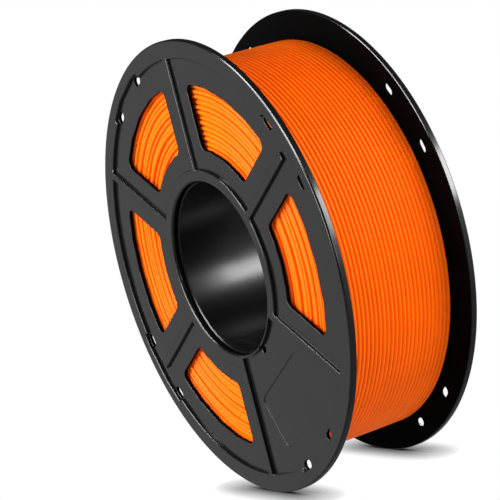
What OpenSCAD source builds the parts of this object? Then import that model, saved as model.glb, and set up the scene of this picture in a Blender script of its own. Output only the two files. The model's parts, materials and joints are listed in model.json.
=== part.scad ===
// Filament spool: two alike moulded flanges are snapped onto the ends of a hub tube, and one strand
// of filament is wound on the tube between them.
// The axis of the spool is Y, the label side of the front flange faces -Y, and Z is up.

/* [Spool] */
// Outer diameter of both flanges
spool_d = 200; // [180:1:220]
// Clear width between the flanges
inner_w = 56.4; // [40:0.2:70]
// Diameter of the bore through the hub tube
bore_d = 75.6; // [52:0.2:80]
// Wall of the hub tube
hub_wall = 2.2; // [1.8:0.1:3]
// Chamfer inside each end of the hub tube
hub_chamfer = 0.5; // [0.2:0.1:1]

/* [Flange] */
// Thickness of a flange at its rim, hub ring and ribs
flange_t = 3; // [2.6:0.1:4]
// Rounding of the rim's outer edge
rim_round = 1; // [0.5:0.1:1.2]
// Width of the raised rim
rim_w = 8; // [7:0.5:10]
// Depth of the sunk panels below the rim
panel_depth = 1.4; // [0.8:0.1:1.6]
// Width of the radial ribs between the panels
rib_w = 3.6; // [2:0.2:5]
// Width of the raised hub ring outside the hub tube
hub_ring_w = 4; // [2:0.5:6]
// Step from the bore of the hub tube out to the flange's hole
hole_step = 0.7; // [0.3:0.1:1.2]
// Rounding of the lip of the flange's hole
lip_round = 1.2; // [0.5:0.1:1.5]

/* [Windows] */
// Web between the hub ring and the windows
inner_web = 9; // [5:0.5:12]
// Web between the rim and the windows
outer_web = 11; // [8:0.5:14]
// Web between the centre of a rib and the window beside it
rib_web = 10.8; // [8:0.2:13]
// Corner radius of the windows
window_round = 3.5; // [2:0.1:4]

/* [Label panel] */
// Width of the label recess
label_w = 44.4; // [30:0.2:50]
// Height of the label recess
label_h = 25; // [16:0.5:30]
// Corner radius of the label recess
label_round = 3; // [1:0.5:5]
// Depth of the label recess below its panel
label_depth = 0.3; // [0.2:0.1:0.5]
// Diameter of the hole where the wound strand starts
start_hole_d = 3.6; // [2.5:0.1:4]
// How far the centre of that hole lies outside the hub tube
start_hole_offset = 1.2; // [1:0.1:2.5]

/* [Tie-off slots] */
// Width of a slot
tie_w = 3.8; // [3:0.1:4.4]
// Margin round a pair of slots in the groove that joins them
groove_margin = 0.7; // [0.3:0.1:1]
// Length of a slot along the rim
tie_l = 6.2; // [5:0.1:8]
// How far the centre of the slots lies outside the rim's inner wall
tie_offset = 0.1; // [0.1:0.1:1]
// Angle from the middle of a pair to each slot
tie_half_angle = 9; // [6:0.5:12]

/* [Snap joint] */
// Height of the collar that takes the end of the hub tube
collar_h = 5; // [4:0.5:8]
// Wall of the collar
collar_wall = 1.8; // [1.6:0.1:2.6]
// Radius of the snap bead on the hub tube
bead_r = 0.5; // [0.3:0.05:0.6]
// Distance of the snap bead from the end of the hub tube
bead_inset = 2.5; // [2:0.1:3]
// Clearance between the hub tube and the collar
fit_clear = 0.05; // [0.02:0.01:0.15]

/* [Filament] */
// Diameter of the filament
filament_d = 1.75; // [1.5:0.05:2.85]
// Height of the rim above the winding
rim_above_winding = 12.5; // [8:0.5:20]
// Clearance of the winding to the flanges and to the hub
winding_clear = 0.2; // [0.1:0.05:0.4]
// Clearance between the outer layer and the layers under it
layer_clear = 0.15; // [0.1:0.05:0.3]
// Least gap between turns of the outer layer
turn_gap = 0.45; // [0.42:0.01:0.6]
// Most turns in the outer layer
most_turns = 24; // [12:1:24]
// How far the sides of the winding stand off the flanges
side_clear = 1; // [0.4:0.1:2]
// Least gap between turns at the sides of the winding
side_turn_gap = 0.5; // [0.3:0.05:0.8]

/* [Hidden] */

$fn = 120;
// Fineness of the round corners of windows and grooves
outline_fn = 32;
plastic_black = "#333335";
gloss_black = "#1c1c1d";
filament_orange = "#ff7a12";
// Extra length that a cutting solid runs past a face
over = 1;

sector_angle = 60;
first_rib_angle = 30;
label_angle = -60;
window_angles = [0, 60, 120, 180, 240];
tie_angles = [30, 120, 210, 300];

spool_r = spool_d / 2;
bore_r = bore_d / 2;
drum_r = bore_r + hub_wall;
hole_r = bore_r + hole_step;
hub_ring_r = drum_r + hub_ring_w;
panel_r = spool_r - rim_w;
window_in_r = hub_ring_r + inner_web;
window_out_r = panel_r - outer_web;
window_mid_r = (window_in_r + window_out_r) / 2;
tie_r = panel_r + tie_offset;
collar_in_r = drum_r + fit_clear;
collar_out_r = collar_in_r + collar_wall;
start_hole_r = drum_r + start_hole_offset;
panel_z = flange_t - panel_depth;

winding_r = spool_r - rim_above_winding;
layer_r = winding_r - filament_d / 2;
winding_half = inner_w / 2 - winding_clear;
// The outer layer is a helix of straight steps, so it dips between its rings
rings_per_turn = 24;
strand_sides = 6;
layer_dip = layer_r * (1 - cos(180 / rings_per_turn));
core_r = layer_r - layer_dip - filament_d / 2 - layer_clear;
helix_w = 2 * winding_half - filament_d;
turns = min(most_turns, floor(helix_w / (filament_d + turn_gap)));
pitch = helix_w / turns;

// At each side of the winding the last turns of the layers show as ridges with flat tops
side_in_r = collar_out_r + winding_clear;
side_half = inner_w / 2 - side_clear;
side_turns = floor((core_r - side_in_r) / (filament_d + side_turn_gap));
side_step = (core_r - side_in_r) / side_turns;
ridge_top = filament_d * tan(22.5);
side_valley = side_half - filament_d / 2;

// A sector of the plane from the origin, symmetric about an angle
module wedge_2d(angle, half_angle, r) {
    side = r / cos(half_angle);
    polygon([
        [0, 0],
        side * [cos(angle - half_angle), sin(angle - half_angle)],
        side * [cos(angle + half_angle), sin(angle + half_angle)]
    ]);
}

module ring_2d(r_out, r_in) {
    difference() {
        circle(r_out);
        circle(r_in);
    }
}

// A rectangle with round corners, centred on the origin
module round_rect_2d(w, h, r) {
    square([w - 2 * r, h], center = true);
    square([w, h - 2 * r], center = true);
    for (x = [-1, 1], y = [-1, 1])
        translate([x * (w / 2 - r), y * (h / 2 - r)]) circle(r);
}

// Half cross-section of a flange: radius along X, and Y pointing out of the spool from the inner face
module flange_profile() {
    difference() {
        union() {
            translate([hole_r, 0]) square([spool_r - rim_round - hole_r, flange_t]);
            translate([hole_r, 0]) square([spool_r - hole_r, flange_t - rim_round]);
            translate([spool_r - rim_round, flange_t - rim_round]) circle(rim_round);
            translate([collar_in_r, -collar_h]) square([collar_wall, collar_h + over]);
        }
        translate([hole_r, flange_t - lip_round]) difference() {
            square(lip_round);
            translate([lip_round, 0]) circle(lip_round);
        }
        translate([collar_in_r - fit_clear, -bead_inset]) circle(bead_r + fit_clear);
    }
}

// The raised ring round the bore, which is narrower beside the label panel
module hub_ring_2d() {
    circle(drum_r);
    difference() {
        circle(hub_ring_r);
        wedge_2d(label_angle, sector_angle / 2, hub_ring_r + over);
    }
}

module panels_2d() {
    difference() {
        circle(panel_r);
        hub_ring_2d();
        for (a = [first_rib_angle : sector_angle : first_rib_angle + 300])
            rotate(a) translate([0, -rib_w / 2]) square([spool_r, rib_w]);
    }
}

// The plane shapes inside get round corners
module rounded_2d(r) {
    offset(r, $fn = outline_fn) offset(delta = -r) children();
}

module window_2d(angle) {
    half = sector_angle / 2;
    rotate(angle) rounded_2d(window_round) intersection() {
        ring_2d(window_out_r, window_in_r);
        translate([rib_web / sin(half), 0]) wedge_2d(0, half, spool_r);
    }
}

// A pair of tie-off slots along the rim, with round ends
module tie_slots_2d(middle) {
    straight = tie_l - tie_w;
    for (side = [-1, 1]) rotate(middle + side * tie_half_angle) translate([tie_r, 0]) {
        square([tie_w, straight], center = true);
        for (end = [-1, 1]) translate([0, end * straight / 2]) circle(d = tie_w);
    }
}

// The groove that joins a pair of tie-off slots and runs a margin past them on every side
module tie_groove_2d(middle) {
    groove_half_w = tie_w / 2 + groove_margin;
    slot_end_angle = atan((tie_l / 2 + groove_margin) / tie_r);
    rounded_2d(groove_half_w / 2) intersection() {
        ring_2d(tie_r + groove_half_w, tie_r - groove_half_w);
        wedge_2d(middle, tie_half_angle + slot_end_angle, spool_r);
    }
}

module label_recess_2d() {
    rotate(label_angle) translate([window_mid_r, 0]) round_rect_2d(label_h, label_w, label_round);
}

// A flange lying on its inner face, with its outer face up
module flange() {
    difference() {
        rotate_extrude() flange_profile();
        translate([0, 0, panel_z]) linear_extrude(panel_depth + over) panels_2d();
        for (a = tie_angles)
            translate([0, 0, panel_z]) linear_extrude(panel_depth + over) tie_groove_2d(a);
        translate([0, 0, panel_z - label_depth]) linear_extrude(panel_depth + over) label_recess_2d();
        for (a = window_angles)
            translate([0, 0, -over]) linear_extrude(flange_t + 2 * over) window_2d(a);
        for (a = tie_angles)
            translate([0, 0, -over]) linear_extrude(flange_t + 2 * over) tie_slots_2d(a);
        rotate(label_angle) translate([start_hole_r, 0, -collar_h - over])
            cylinder(h = collar_h + flange_t + 2 * over, d = start_hole_d);
    }
}

module front_flange() {
    color(plastic_black) translate([0, -inner_w / 2, 0]) rotate([90, 0, 0]) flange();
}

module rear_flange() {
    color(plastic_black) mirror([0, 1, 0]) translate([0, -inner_w / 2, 0]) rotate([90, 0, 0]) flange();
}

module hub_tube() {
    color(gloss_black) rotate([90, 0, 0]) rotate_extrude() {
        half = inner_w / 2;
        polygon([
            [bore_r, -half + hub_chamfer],
            [bore_r + hub_chamfer, -half],
            [drum_r, -half],
            [drum_r, half],
            [bore_r + hub_chamfer, half],
            [bore_r, half - hub_chamfer]
        ]);
        for (end = [-1, 1]) translate([drum_r, end * (half - bead_inset)]) intersection() {
            circle(bead_r);
            translate([-bead_r / 2, -bead_r]) square(2 * bead_r);
        }
    }
}

// The layers under the outer one, as one ring that stands clear of the collars
module filament_inner_layers() {
    drum_clear_r = drum_r + winding_clear;
    collar_clear_y = inner_w / 2 - collar_h - winding_clear;
    ridges = [for (k = [0 : side_turns - 1])
        let (middle = side_in_r + side_step * (k + 0.5))
        each [
            [middle - ridge_top / 2, side_half],
            [middle + ridge_top / 2, side_half],
            [middle + side_step / 2, side_valley]
        ]];
    half_outline = concat(
        [[drum_clear_r, collar_clear_y], [side_in_r, collar_clear_y], [side_in_r, side_valley]],
        ridges
    );
    last = len(half_outline) - 1;
    color(filament_orange) rotate([90, 0, 0]) rotate_extrude() polygon(concat(
        half_outline,
        [for (i = [last : -1 : 0]) [half_outline[i].x, -half_outline[i].y]]
    ));
}

function radial(a) = [cos(a), 0, sin(a)];
function helix_point(i) =
    let (a = 360 * i / rings_per_turn)
    layer_r * radial(a) + [0, -helix_w / 2 + pitch * i / rings_per_turn, 0];
function unit(v) = v / norm(v);
// A ring of the strand: the strand's offsets are carried along the step into the plane that halves the bend
function halving_plane(into, onward) = unit(into + onward);
function carried(offsets, into, plane) = [for (o = offsets) o - into * (o * plane) / (into * plane)];
function squared(offsets, along) = [for (o = offsets) o - along * (o * along)];

// The strand runs radially out of the layer below, round the helix, and radially in again
last_ring = turns * rings_per_turn;
strand_path = concat(
    [helix_point(0) - filament_d * radial(0)],
    [for (i = [0 : last_ring]) helix_point(i)],
    [helix_point(last_ring) - filament_d * radial(0)]
);
path_steps = [for (i = [0 : len(strand_path) - 2]) unit(strand_path[i + 1] - strand_path[i])];
last_step = len(path_steps) - 1;
first_offsets = [for (k = [0 : strand_sides - 1])
    let (a = 360 * k / strand_sides)
    filament_d / 2 * [0, cos(a), sin(a)]];
strand_rings = [for (
    i = 0, offsets = first_offsets;
    i < len(strand_path);
    into = path_steps[min(i, last_step)],
    onward = path_steps[min(i + 1, last_step)],
    offsets = carried(squared(offsets, into), into, halving_plane(into, onward)),
    i = i + 1
) [for (o = offsets) strand_path[i] + o]];

function ring_gap(ring_a, ring_b) = min([for (p = ring_a, q = ring_b) norm(p - q)]);
least_gap = min([for (i = [1 : last_ring - rings_per_turn + 1])
    ring_gap(strand_rings[i], strand_rings[i + rings_per_turn])]);
echo(str("Least gap between turns of the outer layer: ", least_gap, " mm"));

module filament_outer_layer() {
    n = len(strand_rings);
    s = strand_sides;
    sides = [for (i = [0 : n - 2], k = [0 : s - 1])
        let (a = i * s + k, b = i * s + (k + 1) % s)
        each [[a, b, a + s], [b, b + s, a + s]]];
    caps = [for (k = [1 : s - 2])
        each [[0, k + 1, k], [(n - 1) * s, (n - 1) * s + k, (n - 1) * s + k + 1]]];
    color(filament_orange) polyhedron([for (r = strand_rings) each r], concat(sides, caps));
}

front_flange();
rear_flange();
hub_tube();
filament_inner_layers();
filament_outer_layer();
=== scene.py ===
"""Filament spool: two black flanges on a polished hub tube, wound full of orange filament."""
import json
import math

import bmesh
import bpy
from mathutils import Matrix, Vector


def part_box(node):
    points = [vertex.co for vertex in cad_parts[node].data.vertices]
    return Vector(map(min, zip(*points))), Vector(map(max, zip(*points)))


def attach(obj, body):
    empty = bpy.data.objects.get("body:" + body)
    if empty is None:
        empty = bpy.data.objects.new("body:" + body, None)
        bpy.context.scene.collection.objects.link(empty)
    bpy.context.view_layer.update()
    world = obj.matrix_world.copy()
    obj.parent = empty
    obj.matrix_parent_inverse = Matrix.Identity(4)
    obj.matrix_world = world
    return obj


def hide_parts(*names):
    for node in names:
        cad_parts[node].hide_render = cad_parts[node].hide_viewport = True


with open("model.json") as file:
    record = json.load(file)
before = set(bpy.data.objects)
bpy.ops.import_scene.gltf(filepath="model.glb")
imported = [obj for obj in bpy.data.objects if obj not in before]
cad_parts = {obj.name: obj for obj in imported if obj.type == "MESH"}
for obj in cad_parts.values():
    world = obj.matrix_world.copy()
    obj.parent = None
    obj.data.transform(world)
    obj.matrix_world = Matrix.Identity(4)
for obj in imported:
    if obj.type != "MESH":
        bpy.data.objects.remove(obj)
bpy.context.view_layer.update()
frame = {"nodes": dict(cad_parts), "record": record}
scene = bpy.context.scene

MM = 0.001

# Sizes that the frame gives
spindle_bore = frame["record"]["mounts"][0]
bore_r = spindle_bore["dims"]["r_mm"] * MM
inner_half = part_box("hub_tube")[1].y
spool_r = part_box("front_flange")[1].x
face_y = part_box("rear_flange")[1].y
winding_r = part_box("filament_outer_layer")[1].x
inner_layers_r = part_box("filament_inner_layers")[1].x
side_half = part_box("filament_inner_layers")[1].y

# The axis of the bore, and the steps of a piece that is spun round it
spool_middle = (0, 0, 0)
spool_axis = (0, 1, 0)
full_turn = 2 * math.pi
ring_segments = 240

# Hub tube
hub_wall = 2.2 * MM
hub_chamfer = 0.5 * MM
hub_shading_angle = math.radians(30)

# Filament
filament_d = 1.75 * MM
filament_r = filament_d / 2
flange_gap = 0.15 * MM
outer_turns = 27
turn_segments = 120
strand_sides = 12
elbow_r = 1.5 * MM
elbow_segments = 6
outer_layer_start = math.pi

# The core ends this far behind the side strands, and this far below the top of the outer turns
core_gap = 0.2 * MM
core_cover = 0.45 * filament_d

# Sides of the winding, where the last turn of each layer lies along the flange and then climbs
side_in_r = 42.05 * MM
side_turns = 19
side_segments = 90
side_roundness = 3
climb_share = 0.11
climb_end = math.radians(320)

# How far a side strand strays from its layer and lies below the others, and in how many waves per turn
side_wander = 0.22 * MM
wander_waves = 0.618
wander_shift = 1.3
side_ripple = 0.14 * MM
ripple_waves = 2.37
side_depth = 0.24 * MM
depth_waves = 0.382
dent_share = 0.6
dent_waves = 1.71

# Edges of the mouldings
merge_distance = 0.02 * MM
short_edge = 0.05 * MM
edge_round = 0.2 * MM
face_edge_round = 0.5 * MM
edge_segments = 2
corner_angle = math.radians(40)
flat_angle = math.radians(0.5)
shading_angle = math.radians(46)

# Label panel, as it lies round the axis
label_angle = math.radians(-60)
label_half_angle = math.radians(30)
label_direction = Vector((math.cos(label_angle), math.sin(label_angle)))

# Rim: each corner is two rounds with a flat between them. Turns are in degrees, 0 where the surface
# looks along the axis and 90 where it looks away from it.
outer_round = 0.5 * MM
outer_flat = 0.4 * MM
outer_flat_turn = 43
inner_round = 0.2 * MM
inner_flat = 0.3 * MM
inner_flat_turn = 140
rim_cut = 1.1 * MM
rim_round_segments = 4

# The satin finish reaches this far in from a flange's outer face; deeper faces take a darker black that is
# partly painted shade
satin_and_shade_depth = 1.75 * MM

# Watts that a softbox of one square metre takes for a radiance of one
lamp_watts = 4

# Half the width of the floor, in metres
floor_half = 6

# The camera stands to the right of the label side, near the height of the hub, and leans
camera_azimuth = 61.367
camera_elevation = 6.042
camera_distance = 0.8896
camera_aim = Vector((-0.03238, 0.003445, 0.0))
camera_roll = -14.354
camera_lens = 147.21


def add_object(name, data):
    """A new object at the origin."""
    piece = bpy.data.objects.new(name, data)
    scene.collection.objects.link(piece)
    return piece


def mesh_object(name, bm, sharp_from=shading_angle):
    """Closes a bmesh into a smooth object whose edges are sharp from an angle."""
    for face in bm.faces:
        face.smooth = True
    for edge in bm.edges:
        edge.smooth = edge.calc_face_angle(0) < sharp_from
    mesh = bpy.data.meshes.new(name)
    bm.to_mesh(mesh)
    bm.free()
    return add_object(name, mesh)


def dress(piece, material, slot, *nodes):
    """Gives a piece its finish and lets it stand for CAD nodes."""
    piece.data.materials.append(material)
    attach(piece, "root")
    if nodes:
        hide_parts(*nodes)
    return piece


# Camera

def place_camera():
    """Sets up the camera at the photo's viewing angle."""
    azimuth = math.radians(camera_azimuth)
    elevation = math.radians(camera_elevation)
    direction = Vector((
        math.sin(azimuth) * math.cos(elevation),
        -math.cos(azimuth) * math.cos(elevation),
        math.sin(elevation),
    ))
    data = bpy.data.cameras.new("camera")
    data.lens = camera_lens
    camera = add_object("camera", data)
    location = direction * camera_distance
    turn = (camera_aim - location).to_track_quat("-Z", "Y").to_matrix()
    lean = Matrix.Rotation(math.radians(camera_roll), 3, "Z")
    camera.matrix_world = Matrix.Translation(location) @ (turn @ lean).to_4x4()
    scene.camera = camera


# Materials

def srgb(code):
    """An sRGB hex colour as linear RGBA."""
    def linear(c):
        return c / 12.92 if c <= 0.04045 else ((c + 0.055) / 1.055) ** 2.4
    return [linear(int(code[i:i + 2], 16) / 255) for i in (1, 3, 5)] + [1.0]


def add_node(tree, kind, links=None, **settings):
    """Adds a node: settings name its properties or sockets, and links name the sockets that feed it."""
    node = tree.nodes.new(kind)
    for name, value in settings.items():
        if hasattr(node, name):
            setattr(node, name, value)
        else:
            node.inputs[name.replace("_", " ")].default_value = value
    for name, source in (links or {}).items():
        tree.links.new(source, node.inputs[name])
    return node


def new_material(name):
    """A new material with its nodes and its shader."""
    material = bpy.data.materials.new(name)
    material.use_nodes = True
    return material, material.node_tree, material.node_tree.nodes["Principled BSDF"]


def around_axis(tree, place):
    """Coordinates that don't change round the axis: the distance from it and the place along it."""
    parts = add_node(tree, "ShaderNodeSeparateXYZ", {0: place})
    across = add_node(tree, "ShaderNodeCombineXYZ", {"X": parts.outputs["X"], "Z": parts.outputs["Z"]})
    distance = add_node(tree, "ShaderNodeVectorMath", {0: across.outputs[0]}, operation="LENGTH")
    section = add_node(
        tree, "ShaderNodeCombineXYZ", {"X": distance.outputs["Value"], "Y": parts.outputs["Y"]})
    return section.outputs[0]


def feed_plastic(tree, shader, code, tone, gloss, relief):
    """Feeds a plastic's shader with a colour of varying tone, its roughness and its fine relief."""
    colour = add_node(tree, "ShaderNodeHueSaturation", {"Value": tone.outputs[0]}, Color=srgb(code))
    tree.links.new(colour.outputs[0], shader.inputs["Base Color"])
    tree.links.new(gloss.outputs[0], shader.inputs["Roughness"])
    tree.links.new(relief.outputs[0], shader.inputs["Normal"])


def satin_black_abs():
    # Moulded ABS with a spark-eroded grain: an even black whose highlights are soft, not mirror-like.
    # The real grain of about 0.1 mm is drawn at 0.5 mm, so that it shows.
    grain_size = 0.5 * MM
    flow_size = 14 * MM
    material, tree, shader = new_material("satin_black_abs")
    place = add_node(tree, "ShaderNodeTexCoord").outputs["Object"]
    flow = add_node(tree, "ShaderNodeTexNoise", {"Vector": place}, Scale=1 / flow_size, Detail=3.0)
    grain = add_node(tree, "ShaderNodeTexNoise", {"Vector": place}, Scale=1 / grain_size, Detail=2.0)
    tone = add_node(tree, "ShaderNodeMapRange", {"Value": flow.outputs["Fac"]}, To_Min=0.75, To_Max=1.25)
    gloss = add_node(tree, "ShaderNodeMapRange", {"Value": flow.outputs["Fac"]}, To_Min=0.16, To_Max=0.23)
    relief = add_node(
        tree, "ShaderNodeBump", {"Height": grain.outputs["Fac"]}, Strength=0.05, Distance=0.04 * MM)
    shader.inputs["Specular IOR Level"].default_value = 0.5
    feed_plastic(tree, shader, "#0f0f10", tone, gloss, relief)
    return material


def matte_black_abs_painted_shade():
    # The inner side and deep walls of the same moulding, with the rough texture of the mould. Its dull,
    # deep black is partly painted shade: darker and less reflective than the outer face, so that the
    # hollows and the faces between the flanges look shaded.
    # The real texture of about 0.2 mm is drawn at 0.6 mm, so that it shows.
    grain_size = 0.6 * MM
    material, tree, shader = new_material("matte_black_abs_painted_shade")
    place = add_node(tree, "ShaderNodeTexCoord").outputs["Object"]
    grain = add_node(tree, "ShaderNodeTexNoise", {"Vector": place}, Scale=1 / grain_size, Detail=3.0)
    tone = add_node(tree, "ShaderNodeMapRange", {"Value": grain.outputs["Fac"]}, To_Min=0.7, To_Max=1.3)
    gloss = add_node(tree, "ShaderNodeMapRange", {"Value": grain.outputs["Fac"]}, To_Min=0.5, To_Max=0.7)
    relief = add_node(
        tree, "ShaderNodeBump", {"Height": grain.outputs["Fac"]}, Strength=0.2, Distance=0.06 * MM)
    shader.inputs["Specular IOR Level"].default_value = 0.01
    feed_plastic(tree, shader, "#050505", tone, gloss, relief)
    return material


def polished_black_abs():
    # ABS tube polished in a lathe: a deep black mirror, softened by faint lines round the axis.
    # The real lines of about 0.1 mm are drawn at 0.6 mm, so that they show.
    line_size = 0.6 * MM
    material, tree, shader = new_material("polished_black_abs")
    place = add_node(tree, "ShaderNodeTexCoord").outputs["Object"]
    section = around_axis(tree, place)
    lines = add_node(tree, "ShaderNodeTexNoise", {"Vector": section}, Scale=1 / line_size, Detail=2.0)
    tone = add_node(tree, "ShaderNodeMapRange", {"Value": lines.outputs["Fac"]}, To_Min=0.8, To_Max=1.2)
    gloss = add_node(tree, "ShaderNodeMapRange", {"Value": lines.outputs["Fac"]}, To_Min=0.24, To_Max=0.28)
    relief = add_node(
        tree, "ShaderNodeBump", {"Height": lines.outputs["Fac"]}, Strength=0.02, Distance=0.02 * MM)
    shader.inputs["Specular IOR Level"].default_value = 0.55
    feed_plastic(tree, shader, "#070708", tone, gloss, relief)
    return material


def extruded_orange_pla():
    # PLA strand drawn from a die: a clear orange that differs a little from turn to turn, with a satin
    # sheen that fine die lines stretch along the strand. The lines of about 0.05 mm are drawn at 0.3 mm.
    die_line = 0.3 * MM
    turn_size = 2.2 * MM
    patch_size = 25 * MM
    material, tree, shader = new_material("extruded_orange_pla")
    place = add_node(tree, "ShaderNodeTexCoord").outputs["Object"]
    section = around_axis(tree, place)
    turns = add_node(tree, "ShaderNodeTexNoise", {"Vector": section}, Scale=1 / turn_size, Detail=1.0)
    patches = add_node(tree, "ShaderNodeTexNoise", {"Vector": place}, Scale=1 / patch_size, Detail=2.0)
    lines = add_node(tree, "ShaderNodeTexNoise", {"Vector": section}, Scale=1 / die_line, Detail=2.0)
    mixed = add_node(
        tree, "ShaderNodeMath", {0: turns.outputs["Fac"], 1: patches.outputs["Fac"]}, operation="ADD")
    tone = add_node(
        tree, "ShaderNodeMapRange", {"Value": mixed.outputs[0]},
        From_Min=0.6, From_Max=1.4, To_Min=0.9, To_Max=1.08)
    gloss = add_node(tree, "ShaderNodeMapRange", {"Value": lines.outputs["Fac"]}, To_Min=0.34, To_Max=0.5)
    relief = add_node(
        tree, "ShaderNodeBump", {"Height": lines.outputs["Fac"]}, Strength=0.1, Distance=0.03 * MM)
    shader.inputs["Specular IOR Level"].default_value = 0.08
    feed_plastic(tree, shader, "#fa6802", tone, gloss, relief)
    return material


def white_floor_with_painted_shade():
    # A white floor that the camera sees as white, with a painted shade round the spool's feet: ambient
    # occlusion darkens its glow, the lamps don't shade it.
    # Reflections see past it to the dim room, so that the plastic stays black.
    shade_reach = 12 * MM
    shade_depth = 3.0
    bounce = 0.8
    material, tree, shader = new_material("white_floor_with_painted_shade")
    path = add_node(tree, "ShaderNodeLightPath")
    # Painted shade: the floor's glow darkens where the spool hides it, by ambient occlusion within a short
    # reach
    shade = add_node(tree, "ShaderNodeAmbientOcclusion", Distance=shade_reach)
    deep = add_node(tree, "ShaderNodeGamma", {"Color": shade.outputs["AO"]}, Gamma=shade_depth)
    bounced = add_node(
        tree, "ShaderNodeMapRange", {"Value": path.outputs["Is Diffuse Ray"]}, To_Min=1.0, To_Max=bounce)
    strength = add_node(
        tree, "ShaderNodeMath", {0: bounced.outputs[0], 1: deep.outputs[0]}, operation="MULTIPLY")
    glow_and_painted_shade = add_node(tree, "ShaderNodeEmission", {"Strength": strength.outputs[0]})
    clear = add_node(tree, "ShaderNodeBsdfTransparent")
    surface = add_node(
        tree, "ShaderNodeMixShader",
        {0: path.outputs["Is Glossy Ray"], 1: glow_and_painted_shade.outputs[0], 2: clear.outputs[0]})
    tree.links.new(surface.outputs[0], tree.nodes["Material Output"].inputs["Surface"])
    tree.nodes.remove(shader)
    return material


# Pieces

def spin_round(bm, parts):
    """Spins parts all the way round the axis."""
    bmesh.ops.spin(
        bm, geom=parts, cent=spool_middle, axis=spool_axis, dvec=(0, 0, 0),
        angle=full_turn, steps=ring_segments, use_merge=True)


def spun_ring(section):
    """A ring spun from its closed section: (distance from the axis, place along it)."""
    bm = bmesh.new()
    corners = [bm.verts.new((r, y, 0)) for r, y in section]
    for pair in zip(corners, corners[1:] + corners[:1]):
        bm.edges.new(pair)
    spin_round(bm, bm.verts[:] + bm.edges[:])
    bmesh.ops.recalc_face_normals(bm, faces=bm.faces)
    return bm


def arc(centre_r, centre_y, radius, first, last):
    """A round of the rim's section, from one turn to another."""
    turns = [first + (last - first) * k / rim_round_segments for k in range(rim_round_segments + 1)]
    return [
        (centre_r + radius * math.sin(math.radians(a)), centre_y + radius * math.cos(math.radians(a)))
        for a in turns]


def rim_section():
    """The rim's section, from the face to the inner side: (distance from the axis, place along it)."""
    outer_across = outer_flat * math.cos(math.radians(outer_flat_turn))
    outer_along = outer_flat * math.sin(math.radians(outer_flat_turn))
    outer_r = spool_r - outer_round - outer_across
    outer_y = face_y - outer_round
    inner_across = inner_flat * math.cos(math.radians(inner_flat_turn))
    inner_along = inner_flat * math.sin(math.radians(inner_flat_turn))
    inner_r = spool_r - inner_round
    inner_y = inner_half + (inner_along + inner_round)
    return (
        arc(outer_r, outer_y, outer_round, 0, outer_flat_turn)
        + arc(outer_r + outer_across, outer_y - outer_along, outer_round, outer_flat_turn, 90)
        + arc(inner_r, inner_y, inner_round, 90, inner_flat_turn)
        + arc(inner_r + inner_across, inner_y - inner_along, inner_round, inner_flat_turn, 180))


def spun_rim(bm, side):
    """Takes the faceted rim off a flange and spins a smooth round one in its place."""
    faceted = [f for f in bm.faces if min(v.co.xz.length for v in f.verts) > spool_r - rim_cut]
    bmesh.ops.delete(bm, geom=faceted, context="FACES")
    inner_edge = [v for v in bm.verts if v.co.xz.length > spool_r - inner_round]
    drawn_in = 1 - rim_cut / spool_r
    bmesh.ops.scale(bm, verts=inner_edge, vec=(drawn_in, 1, drawn_in))
    corners = [bm.verts.new((r, side * y, 0)) for r, y in rim_section()]
    lines = [bm.edges.new(pair) for pair in zip(corners, corners[1:])]
    spin_round(bm, corners + lines)
    for y in (side * face_y, side * inner_half):
        gap = [e for e in bm.edges if e.is_boundary and abs(e.verts[0].co.y - y) < merge_distance]
        bmesh.ops.triangle_fill(bm, use_beauty=True, use_dissolve=False, edges=gap)


def round_corners(bm, size, takes):
    """Rounds the sharp outward corners inside the rim whose ends a test takes."""
    corners = [
        e for e in bm.edges
        if e.is_convex and e.calc_face_angle() > corner_angle
        and all(v.co.xz.length < spool_r - 2 * rim_cut and takes(v) for v in e.verts)]
    bmesh.ops.bevel(
        bm, geom=corners, offset=size, affect="EDGES", segments=edge_segments, profile=0.5, material=-1)


def at_bare_panel(v):
    """Whether a corner of the outer face is clear of the label panel, whose hole needs finer edges."""
    return abs(v.co.y) > face_y - merge_distance and v.co.xz.angle(label_direction) > label_half_angle


def moulded_flange(node):
    """A flange as it left the mould: the CAD shape with its outer corners slightly rounded."""
    low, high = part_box(node)
    side = math.copysign(1, low.y + high.y)
    bm = bmesh.new()
    bm.from_mesh(frame["nodes"][node].data)
    bmesh.ops.remove_doubles(bm, verts=bm.verts, dist=merge_distance)
    bmesh.ops.dissolve_degenerate(bm, edges=bm.edges, dist=short_edge)
    for vert in bm.verts:
        for y in (side * face_y, side * inner_half):
            if abs(vert.co.y - y) < short_edge:
                vert.co.y = y
    bmesh.ops.dissolve_limit(bm, angle_limit=flat_angle, verts=bm.verts, edges=bm.edges)
    spun_rim(bm, side)
    bmesh.ops.recalc_face_normals(bm, faces=bm.faces)
    round_corners(bm, face_edge_round, at_bare_panel)
    round_corners(bm, edge_round, lambda v: True)
    for face in bm.faces:
        middle = face.calc_center_median()
        on_rim = middle.xz.length > spool_r - rim_cut and abs(middle.y) > inner_half + inner_round / 2
        # Faces deeper than this take the darker black: rough mould texture, and painted shade in the
        # hollows and between the flanges
        if not on_rim and abs(middle.y) < face_y - satin_and_shade_depth:
            face.material_index = 1
    flange = mesh_object(node + "_moulding", bm)
    weighted = flange.modifiers.new("even_faces", "WEIGHTED_NORMAL")
    weighted.keep_sharp = True
    return flange


def polished_hub_tube():
    """The hub tube, spun from its section."""
    drum_r = bore_r + hub_wall
    section = (
        (bore_r, hub_chamfer - inner_half),
        (bore_r + hub_chamfer, -inner_half),
        (drum_r, -inner_half),
        (drum_r, inner_half),
        (bore_r + hub_chamfer, inner_half),
        (bore_r, inner_half - hub_chamfer),
    )
    return mesh_object("hub_tube_polished", spun_ring(section), hub_shading_angle)


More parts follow.
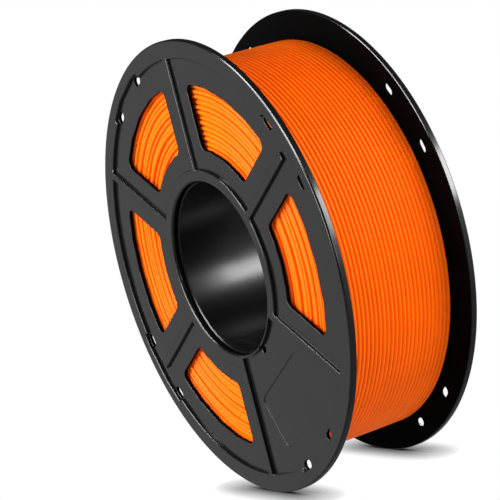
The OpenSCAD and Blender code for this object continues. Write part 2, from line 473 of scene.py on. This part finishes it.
def outer_layer():
    """The outer layer: one strand round the winding in a helix, each end tucked into the layer below."""
    centre_r = winding_r - filament_r
    run = 2 * (inner_half - flange_gap) - filament_d
    pitch = run / outer_turns
    bm = bmesh.new()
    ring = bmesh.ops.create_circle(bm, segments=strand_sides, radius=filament_r)["verts"]
    bmesh.ops.translate(bm, verts=ring, vec=(centre_r, -run / 2, 0))
    bmesh.ops.spin(
        bm, geom=bm.verts[:] + bm.edges[:], cent=spool_middle, axis=spool_axis,
        dvec=(0, pitch / turn_segments, 0), angle=full_turn, steps=turn_segments)
    one_turn = bm.verts[:] + bm.edges[:] + bm.faces[:]
    for turn in range(1, outer_turns):
        copy = bmesh.ops.duplicate(bm, geom=one_turn)["geom"]
        moved = [part for part in copy if isinstance(part, bmesh.types.BMVert)]
        bmesh.ops.translate(bm, verts=moved, vec=(0, pitch * turn, 0))
    bmesh.ops.remove_doubles(bm, verts=bm.verts, dist=merge_distance)
    elbow_centre = (centre_r - elbow_r, 0, 0)
    for side in (-1, 1):
        end = [e for e in bm.edges if e.is_boundary and e.verts[0].co.y * side > 0]
        around = list(dict.fromkeys(v for e in end for v in e.verts))
        bmesh.ops.spin(
            bm, geom=around + end, cent=elbow_centre, axis=spool_axis, dvec=(0, 0, 0),
            angle=side * full_turn / 4, steps=elbow_segments)
    bmesh.ops.holes_fill(bm, edges=bm.edges, sides=strand_sides)
    bmesh.ops.recalc_face_normals(bm, faces=bm.faces)
    bmesh.ops.rotate(bm, verts=bm.verts, matrix=Matrix.Rotation(outer_layer_start, 3, "Y"))
    return mesh_object("filament_outer_turns", bm)


def winding_core():
    """The hidden bulk of the winding, behind the strands that show."""
    half = side_half - filament_r - core_gap
    outer_r = winding_r - core_cover
    section = ((side_in_r, -half), (outer_r, -half), (outer_r, half), (side_in_r, half))
    return mesh_object("filament_core", spun_ring(section))


def layer_of(turn):
    """Which layer the strand is in: it stays in one and climbs to the next behind the label panel."""
    climb = min(max((turn % 1 - 1 + climb_share) / climb_share, 0), 1)
    return math.floor(turn) + climb * climb * (3 - 2 * climb)


def side_strand(name, side):
    """The turns that show at one side of the winding, as one strand that climbs from layer to layer."""
    step = (inner_layers_r - side_in_r) / side_turns
    curve = bpy.data.curves.new(name, "CURVE")
    curve.dimensions = "3D"
    curve.bevel_depth = filament_r
    curve.bevel_resolution = side_roundness
    curve.use_fill_caps = True
    spline = curve.splines.new("POLY")
    count = round((side_turns - climb_share) * side_segments)
    spline.points.add(count - 1)
    for i, point in enumerate(spline.points):
        turn = i / side_segments
        a = climb_end + full_turn * turn
        wander = side_wander * math.sin(wander_waves * a + wander_shift * side)
        ripple = side_ripple * math.sin(ripple_waves * a + side)
        r = side_in_r + step * (layer_of(turn) + 0.5) + (wander + ripple)
        depth = side_depth * (math.sin(depth_waves * a + side) + dent_share * math.sin(dent_waves * a))
        y = side_half - filament_r - depth
        point.co = (r * math.cos(a), side * y, r * math.sin(a), 1)
    strand = add_object(name + "_path", curve)
    mesh = bpy.data.meshes.new_from_object(strand)
    bpy.data.objects.remove(strand)
    mesh.name = name
    mesh.shade_smooth()
    return add_object(name, mesh)


# Studio

def softbox(name, direction, distance, width, height, radiance, lean=0):
    """A soft area lamp that looks at the spool and doesn't show itself."""
    data = bpy.data.lights.new(name, "AREA")
    data.shape = "RECTANGLE"
    data.size = width
    data.size_y = height
    data.energy = lamp_watts * width * height * radiance
    lamp = add_object(name, data)
    turn = Vector(direction).to_track_quat("Z", "Y").to_matrix()
    roll = Matrix.Rotation(math.radians(lean), 3, "Z")
    place = Matrix.Translation(Vector(direction).normalized() * distance)
    lamp.matrix_world = place @ (turn @ roll).to_4x4()
    lamp.visible_camera = False
    return lamp


def screen(lamp, pieces):
    """Keeps a lamp's light to some pieces, as a studio's screens do."""
    lit = bpy.data.collections.new(lamp.name + "_lights")
    for piece in pieces:
        lit.objects.link(piece)
    lamp.light_linking.receiver_collection = lit


def white_studio():
    """A world that the camera sees as white, and reflections as two cards and pale ground in a dim room."""
    fill = 0.27
    dim = 0.03
    card = 0.46
    card_edge = 0.75
    card_middle = 0.95
    pale = 0.2
    pale_edge = -0.15
    pale_middle = -0.4
    world = bpy.data.worlds.new("white_studio")
    scene.world = world
    world.use_nodes = True
    tree = world.node_tree
    background = tree.nodes["Background"]
    background.inputs["Color"].default_value = (1, 1, 1, 1)
    path = add_node(tree, "ShaderNodeLightPath")
    direction = add_node(tree, "ShaderNodeTexCoord").outputs["Generated"]
    # The cards stand at the left front and at the right rear
    toward = add_node(tree, "ShaderNodeCombineXYZ", X=math.sqrt(0.5), Y=math.sqrt(0.5))
    facing = add_node(
        tree, "ShaderNodeVectorMath", {0: direction, 1: toward.outputs[0]}, operation="DOT_PRODUCT")
    either = add_node(tree, "ShaderNodeMath", {0: facing.outputs["Value"]}, operation="ABSOLUTE")
    cards = add_node(
        tree, "ShaderNodeMapRange", {"Value": either.outputs[0]}, interpolation_type="SMOOTHSTEP",
        From_Min=card_edge, From_Max=card_middle, To_Min=dim, To_Max=card)
    height = add_node(tree, "ShaderNodeSeparateXYZ", {0: direction}).outputs["Z"]
    ground = add_node(
        tree, "ShaderNodeMapRange", {"Value": height}, interpolation_type="SMOOTHSTEP",
        From_Min=pale_edge, From_Max=pale_middle, To_Min=dim, To_Max=pale)
    room = add_node(
        tree, "ShaderNodeMath", {0: cards.outputs[0], 1: ground.outputs[0]}, operation="MAXIMUM")
    mirrored = add_node(
        tree, "ShaderNodeMapRange", {"Value": path.outputs["Is Glossy Ray"], "To Max": room.outputs[0]},
        To_Min=fill)
    seen = add_node(
        tree, "ShaderNodeMath",
        {0: path.outputs["Is Camera Ray"], 1: path.outputs["Is Transmission Ray"]}, operation="MAXIMUM")
    strength = add_node(
        tree, "ShaderNodeMapRange", {"Value": seen.outputs[0], "To Min": mirrored.outputs[0]}, To_Max=1.0)
    tree.links.new(strength.outputs[0], background.inputs["Strength"])


def pale_floor():
    """The floor that the spool stands on."""
    bm = bmesh.new()
    bmesh.ops.create_grid(bm, x_segments=1, y_segments=1, size=floor_half)
    bmesh.ops.translate(bm, verts=bm.verts, vec=(0, 0, -spool_r))
    floor = mesh_object("floor", bm)
    floor.data.materials.append(white_floor_with_painted_shade())


place_camera()

scene.view_settings.view_transform = "Standard"
white_studio()
rear_lamp = softbox(
    "rear_right", direction=(0.69, 0.67, 0.26), distance=1.3, width=0.75, height=0.45, radiance=15.0)
winding_lamp = softbox(
    "winding_right", direction=(0.66, 0.5, 0.56), distance=1.3, width=1.0, height=1.0, radiance=4.9)
rim_lamp = softbox(
    "overhead_front", direction=(0.0, -0.72, 0.7), distance=1.2, width=1.1, height=0.13, radiance=24.0,
    lean=-35)
softbox("front_left", direction=(-0.3, -0.93, 0.2), distance=1.2, width=0.65, height=0.65, radiance=12.0)
softbox("low_right", direction=(0.97, 0.1, 0.03), distance=1.3, width=0.8, height=0.3, radiance=4.5)
pale_floor()

flange_plastic = satin_black_abs()
inner_plastic_painted_shade = matte_black_abs_painted_shade()
hub_plastic = polished_black_abs()
filament = extruded_orange_pla()

mouldings = [dress(polished_hub_tube(), hub_plastic, "hub_plastic", "hub_tube")]
for node in ("front_flange", "rear_flange"):
    flange = dress(moulded_flange(node), flange_plastic, "flange_plastic", node)
    flange.data.materials.append(inner_plastic_painted_shade)
    mouldings.append(flange)
top_layer = dress(outer_layer(), filament, "filament", "filament_outer_layer")
inner_winding = [
    dress(winding_core(), filament, "filament", "filament_inner_layers"),
    dress(side_strand("filament_side_front", -1), filament, "filament"),
    dress(side_strand("filament_side_rear", 1), filament, "filament"),
]

# The soft lamp models the outer turns, which the harder ones would flatten
screen(winding_lamp, [top_layer])
for lamp in (rim_lamp, rear_lamp):
    screen(lamp, mouldings + inner_winding)
